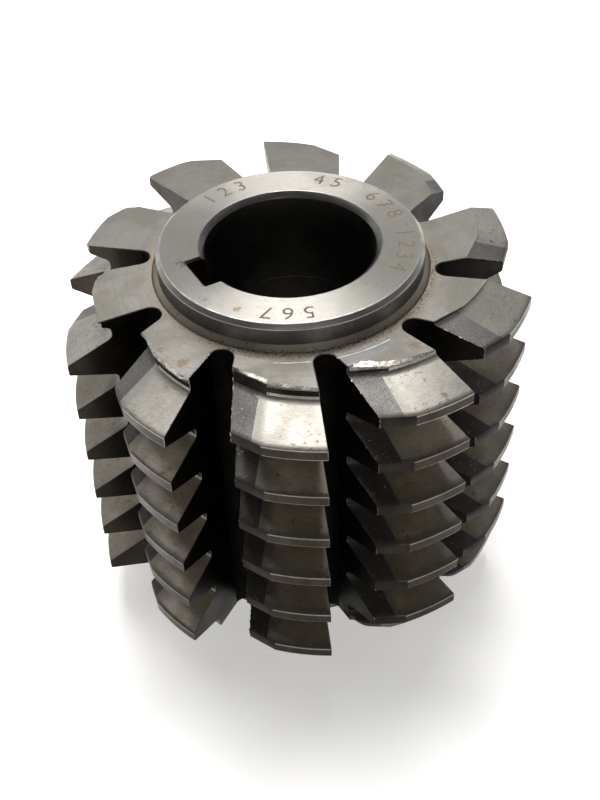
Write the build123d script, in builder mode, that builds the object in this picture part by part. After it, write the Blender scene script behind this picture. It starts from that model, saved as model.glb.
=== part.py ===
from build123d import *
import os
from math import asin, ceil, cos, pi, radians, sin, sqrt, tan

# Gear hob of module 3.5 with one right-hand start: a single piece of high speed steel.
# Millimetres and degrees. The bore axis is Z, the origin is the middle of the lower hub face
# and the keyway points along -X.

# ---------------------------------------------------------------- driving dimensions
overall_length = 80.0
outer_diameter = 90.0

hub_diameter = 50.0
hub_length = 5.0  # how far each hub stands out of the toothed end face
hub_chamfer = 0.8
hub_root_bevel = 1.0

bore_diameter = 32.0
bore_chamfer = 1.0
bore_land_length = 20.0  # ground length at each end of the bore
bore_recess_depth = 0.75  # relieved wall between the two lands

keyway_width = 8.0
keyway_depth = 3.3  # from the bore wall to the floor of the keyway
keyway_corner_radius = 0.5
keyway_edge_break = 0.4

module = 3.5
pressure_angle = 20.0
pitch_diameter = 79.2
addendum = 1.25  # modules from the pitch line to the crest
root_clearance = 0.25  # thread depth beyond twice the addendum

gash_count = 10
gash_depth = 18.0
gash_angle = 26.0
gash_root_radius = 2.2
first_face_angle = 68.67  # azimuth of the cutting face that the thread is set out from
first_crest_height = 74.05  # height of the top thread on that cutting face

land_arc = 14.5  # angle behind a cutting face over which the tooth is form ground
land_relief = 5.1  # radial fall of the ground relief over one gash pitch
back_relief_angle = 28.0  # of the straight back behind the ground land, from the tangent

blunt_thickness = 1.6  # edge left on the incomplete end threads, at the cutting face
blunt_thinning = 0.6  # how much thinner that edge is where the tooth row ends
blunt_stub = 0.8  # least height that a trimmed end thread keeps above its root
blunt_dip = 0.3  # how far the trimming goes below the root where nothing is kept

# ---------------------------------------------------------------- worked-out sizes
outer_radius = outer_diameter / 2
hub_radius = hub_diameter / 2
bore_radius = bore_diameter / 2
gash_pitch = 360 / gash_count
flank_slope = tan(radians(pressure_angle))  # rise of a flank for each millimetre of radius

lead_angle = asin(module / pitch_diameter)
lead = pi * module / cos(lead_angle)
thread_depth = 2 * addendum * module + root_clearance
half_crest = pi * module / 4 - addendum * module * flank_slope
half_root = half_crest + thread_depth * flank_slope

low_face = hub_length
high_face = overall_length - hub_length
toothed_length = high_face - low_face

run_out = 1.0  # how far a cutting tool passes the metal that it removes
tip_clearance = 5.0  # how far the gash and trimming profiles reach outside the teeth
trim_lead_in = 2.0  # angle by which the trimming starts in front of a cutting face
gash_floor_angle = 6.0  # angle of a gash in which no thread is made
reach = outer_radius + tip_clearance
row_sweep = gash_pitch - gash_floor_angle  # angle of thread made for one tooth, past its heel
floor_radius = outer_radius - gash_depth
core_radius = floor_radius + run_out
row_foot_radius = (floor_radius + hub_radius) / 2
land_end_radius = outer_radius - land_relief * land_arc / gash_pitch


def polar_point(radius, angle):
    """Point of a horizontal plane at a radius and an azimuth."""
    return (radius * cos(radians(angle)), radius * sin(radians(angle)))


def radial_plane(angle):
    """Half-plane through the axis: its X is the radius and its Y is the height."""
    outward = (*polar_point(1, angle), 0)
    sideways = (*polar_point(1, angle - 90), 0)
    return Plane(origin=(0, 0, 0), x_dir=outward, z_dir=sideways)


def crest_radius(angle):
    """Radius of the thread crest at an angle behind the cutting face."""
    if angle <= land_arc:
        return outer_radius - land_relief * angle / gash_pitch
    turned = radians(angle - land_arc)
    back_slope = tan(radians(back_relief_angle))
    return land_end_radius / (cos(turned) + back_slope * sin(turned))


def root_radius(angle):
    """Radius of the thread root at an angle behind the cutting face."""
    return crest_radius(angle) - thread_depth


def descent(angle):
    """Fall of the thread along the axis at an angle behind the cutting face."""
    return lead * angle / 360


def rack_outline(angle):
    """Corners of the comb of teeth at an angle behind the cutting face: radius, height."""
    crest = crest_radius(angle)
    root = root_radius(angle)
    turns = ceil(toothed_length / lead) + 1
    corners = []
    for turn in range(-1, turns):
        middle = first_crest_height - turn * lead - descent(angle)
        corners.append((root, middle + half_root))
        corners.append((crest, middle + half_crest))
        corners.append((crest, middle - half_crest))
        corners.append((root, middle - half_root))
    corners.append((row_foot_radius, corners[-1][1]))
    corners.append((row_foot_radius, corners[0][1]))
    return corners


def end_thread(step, face, side):
    """Height, on a cutting face, of the first crest too near an end face to keep its edge.

    The side is 1 at the top and -1 at the bottom.
    """
    crest = first_crest_height - lead * step / gash_count
    limit = face - side * (blunt_thickness - half_crest)
    return limit + side * ((side * (crest - limit)) % lead)


def foot_thickness(crest_height, angle, face, side):
    """Thickness of the incomplete end thread at its root."""
    foot = crest_height - descent(angle) - side * half_root
    return side * (face - foot)


def blunted_radius(crest_height, angle, face, side):
    """Radius at which the end thread is cut off, at an angle behind the cutting face."""
    corner = crest_height - descent(angle) - side * half_crest
    thickness = blunt_thickness - blunt_thinning * angle / row_sweep
    overhang = side * (corner - face) + thickness
    stub = root_radius(angle) + blunt_stub
    return max(crest_radius(angle) - overhang / flank_slope, stub)


# ---------------------------------------------------------------- one tooth row
# The row starts at the cutting face, falls along the screw and draws in with the relief.
# Behind the form-ground length the back runs straight on, at a steeper relief.
with BuildPart() as tooth_row:
    for angle in (0, land_arc / 2, land_arc):
        with BuildSketch(radial_plane(-angle)) as rack:
            with BuildLine():
                Polyline(*rack_outline(angle), close=True)
            make_face()
    loft(ruled=True)
    backwards = Vector(*polar_point(1, -land_arc - 90), -lead / (2 * pi * land_end_radius))
    inwards = Vector(*polar_point(1, -land_arc)) * -tan(radians(back_relief_angle))
    extrude(
        rack.sketch,
        amount=land_end_radius * tan(radians(row_sweep - land_arc)),
        dir=(backwards + inwards).normalized(),
    )

# ---------------------------------------------------------------- threaded and gashed body
with BuildPart() as hob:
    with Locations((0, 0, low_face)):
        Cylinder(core_radius, toothed_length, align=(Align.CENTER, Align.CENTER, Align.MIN))
    screw_steps = [
        Location((0, 0, -lead * step / gash_count), (0, 0, first_face_angle - step * gash_pitch))
        for step in range(gash_count)
    ]
    with Locations(*screw_steps):
        add(tooth_row.part)
    with Locations((0, 0, low_face)):
        Cylinder(
            outer_radius + run_out,
            toothed_length,
            align=(Align.CENTER, Align.CENTER, Align.MIN),
            mode=Mode.INTERSECT,
        )

    # Straight gashes: one wall is radial and is the cutting face, the other is the heel
    root_centre = sqrt((floor_radius + gash_root_radius) ** 2 - gash_root_radius**2)
    apex = root_centre - gash_root_radius / tan(radians(gash_angle / 2))
    with BuildSketch() as wedge:
        with BuildLine():
            Polyline(
                (apex, 0),
                (reach, 0),
                (reach, (reach - apex) * tan(radians(gash_angle))),
                close=True,
            )
        make_face()
        fillet(wedge.vertices().sort_by(Axis.X)[0], gash_root_radius)
    with BuildSketch(Plane.XY.offset(low_face - run_out)):
        with PolarLocations(0, gash_count, start_angle=first_face_angle):
            add(wedge.sketch)
    extrude(amount=toothed_length + 2 * run_out, mode=Mode.SUBTRACT)

    # The thin run-out of the thread at both ends is trimmed back to a blunt edge
    for face, side in ((high_face, 1), (low_face, -1)):
        for step in range(gash_count):
            crest_height = end_thread(step, face, side)
            feet = [foot_thickness(crest_height, angle, face, side) for angle in (0, row_sweep)]
            if max(feet) < 0:
                continue
            angles = [-trim_lead_in, land_arc / 2, land_arc, (land_arc + row_sweep) / 2, row_sweep]
            if sum(feet) > blunt_thickness:
                radii = [blunted_radius(crest_height, angle, face, side) for angle in angles]
            else:
                radii = [root_radius(angle) - blunt_dip for angle in angles]
            azimuth = first_face_angle - step * gash_pitch
            between_threads = crest_height - side * lead / 2
            past_face = face + side * run_out
            with BuildSketch(Plane.XY.offset(min(between_threads, past_face))):
                with BuildLine():
                    points = [polar_point(r, azimuth - a) for r, a in zip(radii, angles)]
                    edge = Spline(*points)
                    far = CenterArc((0, 0), reach, azimuth - angles[0], angles[0] - angles[-1])
                    Line(edge @ 0, far @ 0)
                    Line(edge @ 1, far @ 1)
                make_face()
            extrude(amount=abs(past_face - between_threads), mode=Mode.SUBTRACT)

    # ------------------------------------------------------------ hubs
    with BuildSketch(Plane.XZ):
        with BuildLine():
            Polyline(
                (0, 0),
                (hub_radius - hub_chamfer, 0),
                (hub_radius, hub_chamfer),
                (hub_radius, low_face - hub_root_bevel),
                (hub_radius + hub_root_bevel, low_face),
                (hub_radius + hub_root_bevel, low_face + run_out),
                (0, low_face + run_out),
                close=True,
            )
        make_face()
    lower_hub = revolve(axis=Axis.Z)
    mirror(lower_hub, about=Plane.XY.offset(overall_length / 2))

    # ------------------------------------------------------------ bore
    recess_end = overall_length - bore_land_length
    recess_radius = bore_radius + bore_recess_depth
    with BuildSketch(Plane.XZ):
        with BuildLine():
            Polyline(
                (0, 0),
                (bore_radius + bore_chamfer, 0),
                (bore_radius, bore_chamfer),
                (bore_radius, bore_land_length),
                (recess_radius, bore_land_length + bore_recess_depth),
                (recess_radius, recess_end - bore_recess_depth),
                (bore_radius, recess_end),
                (bore_radius, overall_length - bore_chamfer),
                (bore_radius + bore_chamfer, overall_length),
                (0, overall_length),
                close=True,
            )
        make_face()
    revolve(axis=Axis.Z, mode=Mode.SUBTRACT)

    # ------------------------------------------------------------ keyway
    keyway_reach = bore_radius + keyway_depth
    with BuildSketch() as keyway:
        Rectangle(keyway_reach, keyway_width, align=(Align.MAX, Align.CENTER))
        fillet(keyway.vertices().group_by(Axis.X)[0], keyway_corner_radius)
    extrude(amount=overall_length, mode=Mode.SUBTRACT)
    for mouth in (Plane.XY, Plane.XY.offset(overall_length).rotated((180, 0, 0))):
        with BuildSketch(mouth) as key_mouth:
            Rectangle(
                keyway_reach + keyway_edge_break,
                keyway_width + 2 * keyway_edge_break,
                align=(Align.MAX, Align.CENTER),
            )
            corners = key_mouth.vertices().group_by(Axis.X)[0]
            fillet(corners, keyway_corner_radius + keyway_edge_break)
        extrude(amount=keyway_edge_break, taper=45, mode=Mode.SUBTRACT)

os.makedirs("parts", exist_ok=True)
hob.part.label = "gear_hob"
export_step(hob.part, "parts/gear_hob.step")
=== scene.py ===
"""Gear hob of module 3.5 with one right-hand start, dressed as a used tool of high speed steel.

The hob is a single piece of steel, so one mesh stands for the CAD solid. Its sizes are in
millimetres and degrees, as on the maker's drawing, and the finished mesh is in metres. The bore
axis is Z, the lower hub face is at zero and the keyway points along -X.
"""

import logging
import math
from dataclasses import dataclass
from enum import Enum, IntEnum

import bmesh
import bpy
from bmesh.types import BMEdge, BMesh, BMFace, BMVert
from bpy.types import Material, Mesh, Node, NodeSocket, NodeTree, Object
from mathutils import Matrix, Vector, noise

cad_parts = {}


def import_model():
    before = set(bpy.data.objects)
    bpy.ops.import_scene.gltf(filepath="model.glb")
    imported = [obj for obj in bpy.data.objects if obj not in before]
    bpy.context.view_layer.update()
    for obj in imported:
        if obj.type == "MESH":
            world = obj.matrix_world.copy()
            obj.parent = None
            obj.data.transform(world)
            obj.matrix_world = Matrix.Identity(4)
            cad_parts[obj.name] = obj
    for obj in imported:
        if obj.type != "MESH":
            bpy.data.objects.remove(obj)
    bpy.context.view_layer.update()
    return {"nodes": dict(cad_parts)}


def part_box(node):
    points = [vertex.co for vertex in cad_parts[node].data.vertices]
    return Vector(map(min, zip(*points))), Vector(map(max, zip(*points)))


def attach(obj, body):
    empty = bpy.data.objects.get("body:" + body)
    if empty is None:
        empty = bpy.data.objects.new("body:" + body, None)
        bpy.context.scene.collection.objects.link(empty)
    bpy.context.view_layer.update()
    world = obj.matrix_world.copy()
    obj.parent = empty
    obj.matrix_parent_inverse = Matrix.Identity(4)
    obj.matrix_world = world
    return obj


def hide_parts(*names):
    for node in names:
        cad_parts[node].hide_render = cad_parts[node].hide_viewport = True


LOG = logging.getLogger("gear_hob")
MM = 0.001
NODE = "gear_hob"
BODY = "root"
CENTRE = (0.0, 0.0, 0.0)
UP = (0.0, 0.0, 1.0)
MERGE = 0.002  # vertices nearer than this, in millimetres, are one
CUT_SLACK = 1e-4  # vertices nearer than this to a cutting plane, in millimetres, lie on it


class Zone(IntEnum):
    """Surfaces of the hob that were made in different ways, in the order of the material slots."""

    GROUND_FLANK = 0
    ROUGH_BACK = 1
    CREST = 2
    CREST_BACK = 3
    CUTTING_FACE = 4
    HEEL_WALL = 5
    GASH_ROOT = 6
    END_FACE = 7
    TORN_EDGE = 8
    HUB_FACE = 9
    HUB_EDGE = 10
    HUB_SIDE = 11
    BORE_WALL = 12
    KEYWAY = 13
    KEEN_EDGE = 14
    HEEL_EDGE = 15
    HUB_RIM = 16
    THREAD_ROOT = 17


class Lay(Enum):
    """Direction of the marks that the last machining step left."""

    ROUND_AXIS = "round the axis, as a turned or relieved surface has"
    ALONG_AXIS = "along the axis, as a ground gash has"


# ------------------------------------------------------------------ mesh work


def bevel(
    work: BMesh, geom: list, affect: str, offset: float, segments: int, slide: bool = False
) -> list[BMFace]:
    """Bevels corners or edges.

    Args:
        work: The mesh that holds them.
        geom: The vertices or edges.
        affect: VERTICES or EDGES.
        offset: The size of the bevel, in millimetres.
        segments: The number of steps across it.
        slide: Whether its ends slide along the edges that they meet.

    Returns:
        The new faces.
    """
    made = bmesh.ops.bevel(
        work,
        geom=geom,
        affect=affect,
        offset=offset,
        offset_type="OFFSET",
        segments=segments,
        profile=0.5,
        clamp_overlap=True,
        loop_slide=slide,
        material=-1,
    )
    return made["faces"]


def spin(
    work: BMesh,
    geom: list,
    angle: float,
    steps: int,
    centre: tuple = CENTRE,
    shift: tuple = CENTRE,
    full: bool = False,
) -> list[BMEdge]:
    """Sweeps geometry round an upright axis.

    Args:
        work: The mesh that holds it.
        geom: The vertices and edges to sweep.
        angle: The angle of the sweep, in radians.
        steps: The number of steps in it.
        centre: A point of the axis; the bore's is the usual one.
        shift: How far each step also moves.
        full: Whether the sweep closes on itself.

    Returns:
        The edges at the end of the sweep.
    """
    swept = bmesh.ops.spin(
        work, geom=geom, cent=centre, axis=UP, dvec=shift, angle=angle, steps=steps, use_merge=full
    )
    return [item for item in swept["geom_last"] if isinstance(item, BMEdge)]


def cut_off(work: BMesh, point: Vector | tuple, outwards: Vector | tuple) -> list[BMEdge]:
    """Cuts away what lies beyond a plane.

    Args:
        work: The mesh to cut.
        point: A point of the plane.
        outwards: The direction in which nothing is kept.

    Returns:
        The edges along the cut.
    """
    geom = [*work.verts, *work.edges, *work.faces]
    cut = bmesh.ops.bisect_plane(
        work, geom=geom, dist=CUT_SLACK, plane_co=point, plane_no=outwards, clear_outer=True
    )
    return [item for item in cut["geom_cut"] if isinstance(item, BMEdge)]


def turn(work: BMesh, verts: list[BMVert], angle: float) -> None:
    """Turns vertices about the bore axis by an angle in degrees."""
    matrix = Matrix.Rotation(math.radians(angle), 3, "Z")
    bmesh.ops.rotate(work, verts=verts, cent=CENTRE, matrix=matrix)


def written(work: BMesh, name: str) -> Mesh:
    """Writes a work mesh out and frees it.

    Args:
        work: The work mesh.
        name: The name of the new mesh.

    Returns:
        The new mesh.
    """
    mesh = bpy.data.meshes.new(name)
    work.to_mesh(mesh)
    work.free()
    return mesh


def take_in(work: BMesh, mesh: Mesh) -> None:
    """Adds a mesh to a work mesh and removes it."""
    work.from_mesh(mesh)
    bpy.data.meshes.remove(mesh)


def shown(work: BMesh, name: str, materials: list[Material]) -> Object:
    """Makes a piece in metres of a work mesh in millimetres, and links it.

    Args:
        work: The work mesh.
        name: The name of the piece.
        materials: Its materials, in the order of the slots.

    Returns:
        The piece, at the origin.
    """
    bmesh.ops.scale(work, verts=work.verts, vec=(MM, MM, MM))
    mesh = written(work, name)
    for material in materials:
        mesh.materials.append(material)
    piece = bpy.data.objects.new(name, mesh)
    bpy.context.scene.collection.objects.link(piece)
    return piece


def evaluated(holder: Object) -> Object:
    """An object as its modifiers or its font leave it."""
    bpy.context.view_layer.update()
    return holder.evaluated_get(bpy.context.evaluated_depsgraph_get())


def plan_radius(point: Vector) -> float:
    """Distance of a point from the bore axis."""
    return math.hypot(point.x, point.y)


def turned_point(x: float, y: float, angle: float) -> Vector:
    """A point of the plan after a turn about the bore axis, in degrees."""
    return Matrix.Rotation(math.radians(angle), 3, "Z") @ Vector((x, y, 0))


def waves(point: Vector, *pairs: tuple[float, float]) -> float:
    """Sum of waves of noise at a point, each with its height and its pitch in waves a millimetre."""
    return sum(height * noise.noise(point * pitch) for height, pitch in pairs)


def draw_in(vert: BMVert, radius: float) -> None:
    """Moves a vertex to another distance from the bore axis, at its own height.

    Args:
        vert: The vertex.
        radius: Its new distance.
    """
    share = radius / plan_radius(vert.co)
    vert.co.x *= share
    vert.co.y *= share


# ------------------------------------------------------------------ sizes


@dataclass(frozen=True)
class HobSizes:
    """The hob's drawing sizes, in millimetres and degrees."""

    length: float = 80.0
    bore_radius: float = 16.0
    outer_radius: float = 45.0
    hub_radius: float = 25.0
    hub_length: float = 5.0
    hub_chamfer: float = 0.8
    hub_root: float = 1.0
    bore_chamfer: float = 1.0
    bore_land: float = 20.0
    bore_recess: float = 0.75
    keyway_width: float = 8.0
    keyway_depth: float = 3.3
    keyway_corner: float = 0.5
    keyway_break: float = 0.4
    module: float = 3.5
    pressure_angle: float = 20.0
    pitch_diameter: float = 79.2
    addendum: float = 1.25
    root_clearance: float = 0.25
    rows: int = 10
    gash_depth: float = 18.0
    gash_angle: float = 26.0
    gash_root: float = 2.2
    gash_floor_angle: float = 6.0
    first_face: float = 68.67
    first_crest: float = 74.05
    land_arc: float = 14.5
    land_relief: float = 5.1
    back_relief: float = 28.0
    blunt_thickness: float = 1.6
    blunt_thinning: float = 0.6
    blunt_stub: float = 0.8
    blunt_dip: float = 0.3

    @property
    def row_pitch(self) -> float:
        """Angle from one cutting face to the next."""
        return 360 / self.rows

    @property
    def row_sweep(self) -> float:
        """Angle over which a tooth row is swept, past its heel."""
        return self.row_pitch - self.gash_floor_angle

    @property
    def slope(self) -> float:
        """Rise of a flank for each millimetre of radius."""
        return math.tan(math.radians(self.pressure_angle))

    @property
    def back_slope(self) -> float:
        """Fall of the straight back for each millimetre along it."""
        return math.tan(math.radians(self.back_relief))

    @property
    def lead(self) -> float:
        """Advance of the thread in one turn."""
        return math.pi * self.module / math.cos(math.asin(self.module / self.pitch_diameter))

    @property
    def depth(self) -> float:
        """Depth of the thread."""
        return 2 * self.addendum * self.module + self.root_clearance

    @property
    def half_crest(self) -> float:
        """Half the thickness of a tooth at its crest."""
        return math.pi * self.module / 4 - self.addendum * self.module * self.slope

    @property
    def half_root(self) -> float:
        """Half the thickness of a tooth at its root."""
        return self.half_crest + self.depth * self.slope

    @property
    def low_face(self) -> float:
        """Height of the lower toothed end face."""
        return self.hub_length

    @property
    def high_face(self) -> float:
        """Height of the upper toothed end face."""
        return self.length - self.hub_length

    @property
    def hub_foot(self) -> float:
        """Radius at which the hub's bevel meets the end face."""
        return self.hub_radius + self.hub_root

    @property
    def gash_centre(self) -> float:
        """Distance from the axis, along the cutting face, to the centre of the gash's root."""
        floor = self.outer_radius - self.gash_depth
        return math.sqrt((floor + self.gash_root) ** 2 - self.gash_root**2)

    @property
    def gash_apex(self) -> float:
        """Distance from the axis to the point where the two walls of a gash would meet."""
        return self.gash_centre - self.gash_root / math.tan(math.radians(self.gash_angle / 2))

    @property
    def heel_apex(self) -> Vector:
        """The point where the heel wall's plane meets the next cutting face's."""
        return turned_point(self.gash_apex, 0, -self.row_pitch)

    @property
    def heel_outwards(self) -> Vector:
        """Direction in which the heel wall looks."""
        return turned_point(1, 0, self.gash_angle - self.row_pitch - 90)

    def face_azimuth(self, step: int) -> float:
        """Azimuth of a row's cutting face."""
        return self.first_face - step * self.row_pitch

    def fall(self, angle: float) -> float:
        """Fall of the thread at an angle behind the cutting face."""
        return self.lead * angle / 360

    def drawn_in(self, radius: float, angle: float) -> float:
        """Radius that a point of the cutting face's comb has at an angle behind that face.

        Args:
            radius: The point's radius on the cutting face.
            angle: The angle behind the cutting face.

        Returns:
            The radius after the form relief and, behind the ground land, the straight back.
        """
        landed = radius - self.land_relief * min(angle, self.land_arc) / self.row_pitch
        if angle <= self.land_arc:
            return landed
        turned = math.radians(angle - self.land_arc)
        return landed / (math.cos(turned) + self.back_slope * math.sin(turned))

    def crest_at(self, angle: float) -> float:
        """Radius of the crest at an angle behind the cutting face."""
        return self.drawn_in(self.outer_radius, angle)

    def root_at(self, angle: float) -> float:
        """Radius of the thread's root at an angle behind the cutting face."""
        return self.drawn_in(self.outer_radius - self.depth, angle)


# ------------------------------------------------------------------ one tooth row


def behind(point: Vector) -> float:
    """Angle of a point behind the cutting face, in the row's own frame."""
    return -math.degrees(math.atan2(point.y, point.x))


def rounding(distance: float, radius: float) -> float:
    """How far a filed corner is drawn in, at a distance from the end of its edge."""
    missing = min(max(radius - distance, 0.0), radius)
    return radius - math.sqrt(radius**2 - missing**2)


@dataclass(frozen=True)
class TornEdge:
    """Rough, undercut edge that hand trimming left on an incomplete end thread.

    The widths are of the torn rim at the cutting face and at the heel, and the drop is how far
    it sags. Under the lip the wall stands back by the hollow. The lip reaches out at both ends.
    """

    row: int
    front_width: float
    heel_width: float
    drop: float
    hollow: float
    reach: float = 0.0
    end_share: float = 0.2
    growth: float = 8.0

    def width(self, share: float) -> float:
        """Width of the rim at a share of the way from the cutting face to the heel."""
        return self.fade(share) * (self.front_width + (self.heel_width - self.front_width) * share)

    def fade(self, share: float) -> float:
        """How far the tear has come up from the ends of the row, from 0 to 1."""
        return min(1.0, self.growth * min(share, 1 - share) + self.end_share)

    def reached(self, angle: float, middle: float) -> float:
        """How far the lip stands out at an angle behind the cutting face."""
        return self.reach * (angle / middle - 1) ** 2


@dataclass(frozen=True)
class ToothRow:
    """The row of rack teeth behind one cutting face, which lies along +X in the row's own frame.

    The row is an open shell: the swept comb, the cutting face, the heel wall and the rounded
    root of the gash in front of it. Ten of them close round the axis.
    """

    sizes: HobSizes
    land_steps: int = 15
    back_steps: int = 13
    tip_round: float = 0.28
    root_round: float = 0.6
    fine_cuts: int = 11
    plain_cuts: int = 5
    root_steps: int = 10
    upright: float = 0.3  # the steepest normal of a crest or a thread root
    crest_reach: float = 0.5
    root_reach: float = 0.3
    ground_past: float = 2.4  # angle over which the grinding runs out on a flank
    keen_width: float = 0.09
    heel_width: float = 0.07
    edge_break: float = 0.14
    burr: float = 0.28
    burred: tuple[int, ...] = (2, 3, 4, 5)
    burr_cuts: int = 4
    burr_mean: float = 0.1
    burr_waves: tuple[tuple[float, float], ...] = ((1.0, 1.0), (0.8, 3.1))
    burr_pitch: tuple[float, float, float] = (2.9, 7.3, 3.7)  # along x, from row to row, along z
    face_corner: float = 0.6
    heel_corner: float = 1.6
    lip: float = 0.42
    lip_rough: float = 0.8
    least_hollow: float = 0.1
    tooth_middle: float = 12.0
    torn: tuple[TornEdge, ...] = (
        TornEdge(row=4, front_width=0.12, heel_width=1.3, drop=0.25, hollow=1.5),
        TornEdge(row=5, front_width=0.3, heel_width=0.5, drop=0.25, hollow=1.3),
        TornEdge(row=6, front_width=0.5, heel_width=0.25, drop=0.15, hollow=1.5, reach=0.3),
        TornEdge(row=7, front_width=0.0, heel_width=0.0, drop=0.0, hollow=0.6, reach=0.9),
    )

    def comb(self, shell: BMesh) -> list[BMEdge]:
        """Draws the comb of teeth on the cutting face, from the top down.

        Args:
            shell: The mesh that the comb is drawn in.

        Returns:
            The edges of the comb.
        """
        sizes = self.sizes
        root = sizes.outer_radius - sizes.depth
        upper = [(root, sizes.half_root), (sizes.outer_radius, sizes.half_crest)]
        tooth = [*upper, *[(radius, -height) for radius, height in reversed(upper)]]
        turns = math.ceil((sizes.high_face - sizes.low_face) / sizes.lead) + 2
        corners: list[BMVert] = []
        for order in range(turns):
            middle = sizes.first_crest - (order - 1) * sizes.lead
            corners += [shell.verts.new((radius, 0, middle + height)) for radius, height in tooth]
        for pair in zip(corners, corners[1:]):
            shell.edges.new(pair)
        for radius, size in ((sizes.outer_radius, self.tip_round), (root, self.root_round)):
            sharp = [
                v for v in shell.verts if abs(v.co.x - radius) < MERGE and len(v.link_edges) == 2
            ]
            bevel(shell, sharp, "VERTICES", size, 2)
        flanks = [e for e in shell.edges if e.calc_length() > sizes.depth / 2]
        low, high = sizes.low_face + 2 * sizes.lead, sizes.high_face - sizes.lead
        plain = [e for e in flanks if low < sum(v.co.z for v in e.verts) / 2 < high]
        fine = [e for e in flanks if e not in plain]
        bmesh.ops.subdivide_edges(shell, edges=fine, cuts=self.fine_cuts)
        bmesh.ops.subdivide_edges(shell, edges=plain, cuts=self.plain_cuts)
        return list(shell.edges)

    def sweep(self, shell: BMesh, comb: list[BMEdge]) -> None:
        """Sweeps the comb backwards along the screw, over the ground land and then the back.

        Args:
            shell: The mesh that holds the comb.
            comb: The edges to sweep; they are drawn in as the relieving grinder does.
        """
        sizes = self.sizes
        arcs = ((sizes.land_arc, self.land_steps), (sizes.row_sweep - sizes.land_arc, self.back_steps))
        for arc, steps in arcs:
            shift = (0, 0, -sizes.fall(arc) / steps)
            comb = spin(shell, comb, -math.radians(arc), steps, shift=shift)
        for vert in shell.verts:
            draw_in(vert, sizes.drawn_in(plan_radius(vert.co), behind(vert.co)))

    def mark_zones(self, shell: BMesh) -> None:
        """Gives each swept face its zone.

        Args:
            shell: The swept comb.
        """
        sizes = self.sizes
        shell.normal_update()
        for face in shell.faces:
            centre = face.calc_center_median()
            angle, radius = behind(centre), plan_radius(centre)
            upright = abs(face.normal.z) < self.upright
            if upright and radius > sizes.crest_at(angle) - self.crest_reach:
                ground = angle < sizes.land_arc
                face.material_index = Zone.CREST if ground else Zone.CREST_BACK
            elif upright and radius < sizes.root_at(angle) + self.root_reach:
                face.material_index = Zone.THREAD_ROOT
            else:
                ground = angle < sizes.land_arc + self.ground_past
                face.material_index = Zone.GROUND_FLANK if ground else Zone.ROUGH_BACK

    def close_wall(self, shell: BMesh, comb: list[BMEdge], foot: Vector, zone: Zone) -> BMEdge:
        """Closes the plane between a comb and an upright line at the foot of the gash.

        Args:
            shell: The mesh that holds the comb.
            comb: The edges of the comb, in any order.
            foot: A point of the upright line; its height isn't used.
            zone: The zone of the new wall.

        Returns:
            The upright edge at the foot.
        """
        ends = [v for e in comb for v in e.verts if sum(o in comb for o in v.link_edges) == 1]
        upper, lower = sorted(ends, key=lambda v: -v.co.z)
        foot_top = shell.verts.new((foot.x, foot.y, upper.co.z))
        foot_low = shell.verts.new((foot.x, foot.y, lower.co.z))
        upright = shell.edges.new((foot_top, foot_low))
        rim = [shell.edges.new((upper, foot_top)), upright, shell.edges.new((lower, foot_low))]
        wall = bmesh.ops.contextual_create(shell, geom=[*comb, *rim])
        for face in wall["faces"]:
            face.material_index = zone
        return upright

    def trim_end_thread(self, shell: BMesh, step: int, face: float, side: int) -> None:
        """Draws the thin run-out of the thread in to a blunt edge.

        Args:
            shell: The swept comb, in the row's own frame but at its final height.
            step: The number of the row.
            face: The height of the end face.
            side: 1 at the top and -1 at the bottom.
        """
        sizes = self.sizes
        # The first crest on the cutting face that is too near the end face to keep its edge
        crest = sizes.first_crest - sizes.lead * step / sizes.rows
        last_whole = face - side * (sizes.blunt_thickness - sizes.half_crest)
        crest = last_whole + side * ((side * (crest - last_whole)) % sizes.lead)
        feet = [
            side * (face - (crest - sizes.fall(angle) - side * sizes.half_root))
            for angle in (0, sizes.row_sweep)
        ]
        if max(feet) < 0:
            return
        flat = sum(feet) <= sizes.blunt_thickness
        torn = next((edge for edge in self.torn if edge.row == step and side > 0), None)
        for vert in shell.verts:
            angle = max(behind(vert.co), 0)
            if side * (vert.co.z + sizes.fall(angle) - crest) <= -sizes.lead / 2:
                continue
            if flat:
                limit = sizes.root_at(angle) - sizes.blunt_dip
            else:
                limit = self.blunted(angle, crest, face, side)
                limit = self.lipped(vert.co, angle, limit, face, torn)
            if plan_radius(vert.co) > limit:
                draw_in(vert, limit)

    def blunted(self, angle: float, crest: float, face: float, side: int) -> float:
        """Radius at which an end thread is blunt.

        Args:
            angle: The angle behind the cutting face.
            crest: The height of the thread's crest on the cutting face.
            face: The height of the end face.
            side: 1 at the top and -1 at the bottom.

        Returns:
            The radius.
        """
        sizes = self.sizes
        thickness = sizes.blunt_thickness - sizes.blunt_thinning * angle / sizes.row_sweep
        corner = crest - sizes.fall(angle) - side * sizes.half_crest
        overhang = side * (corner - face) + thickness
        limit = sizes.crest_at(angle) - overhang / sizes.slope
        return max(limit, sizes.root_at(angle) + sizes.blunt_stub)

    def lipped(
        self, point: Vector, angle: float, limit: float, face: float, torn: TornEdge | None
    ) -> float:
        """Radius of a blunt end thread after the corners are filed and the lip is undercut.

        Args:
            point: The point.
            angle: Its angle behind the cutting face.
            limit: The radius of the plain blunt edge.
            face: The height of the end face.
            torn: How the row was trimmed by hand, if it was.

        Returns:
            The radius.
        """
        if torn is None:
            limit -= rounding(math.radians(angle) * plan_radius(point), self.face_corner)
        if torn is None or torn.drop == 0:
            flat_point = Vector((point.x, point.y, 0))
            inside = (self.sizes.heel_apex - flat_point).dot(self.sizes.heel_outwards)
            limit -= rounding(inside, self.heel_corner)
        if torn is not None:
            limit += torn.reached(angle, self.tooth_middle)
            if face - point.z > self.lip * (1 + noise.noise(point * self.lip_rough)):
                stub = self.sizes.root_at(angle) + self.least_hollow
                limit = max(limit - torn.hollow, min(limit, stub))
        return limit

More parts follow.
